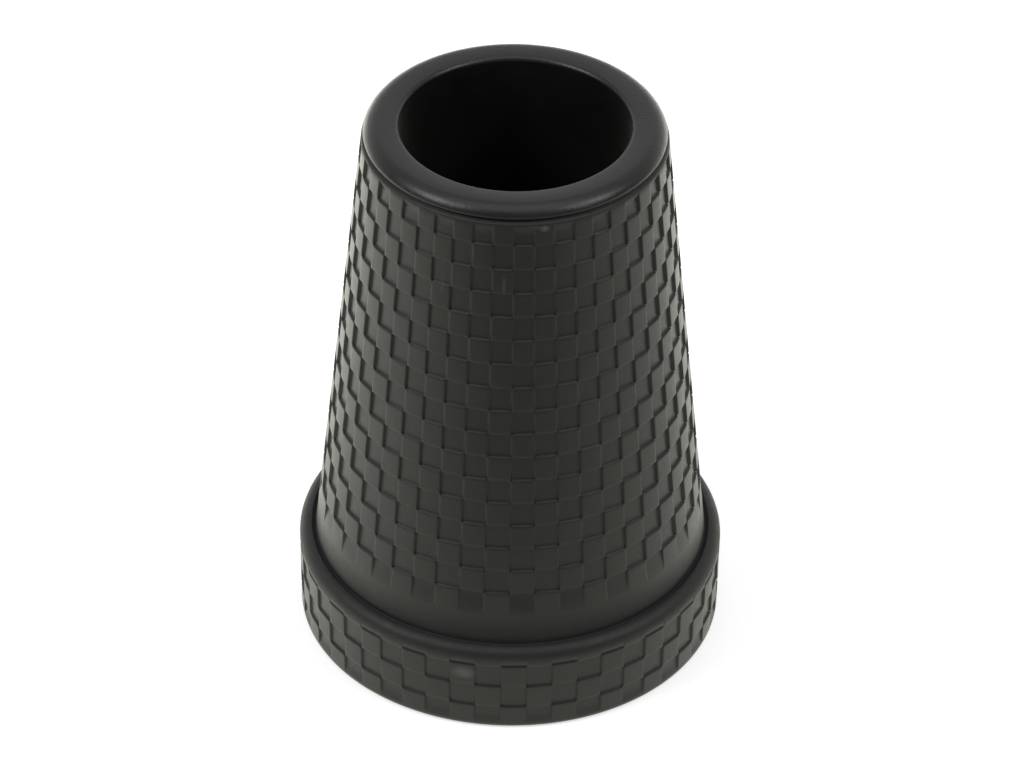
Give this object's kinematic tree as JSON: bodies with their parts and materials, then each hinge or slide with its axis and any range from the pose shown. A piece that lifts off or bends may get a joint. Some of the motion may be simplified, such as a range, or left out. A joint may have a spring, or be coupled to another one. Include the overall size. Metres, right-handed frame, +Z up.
{
  "type": "rubber cane tip",
  "caption": "Tapered rubber foot with a blind bore that presses onto a cane shaft, a base collar and a ringed, grooved sole.",
  "frame": {"origin": "centre of the sole, where the axis meets the ground", "axes": "+Z up the axis, from the sole to the mouth of the bore; the tip is turned, so X and Y are free"},
  "size_m": [0.0362, 0.0362, 0.0495],
  "materials": {
    "rubber_tip": "matte black moulded rubber, chequered with shallow pads on the body and collar, smooth at the lip and sole"
  },
  "bodies": {
    "root": {"rubber_tip": "rubber_tip"}
  },
  "joints": []
}
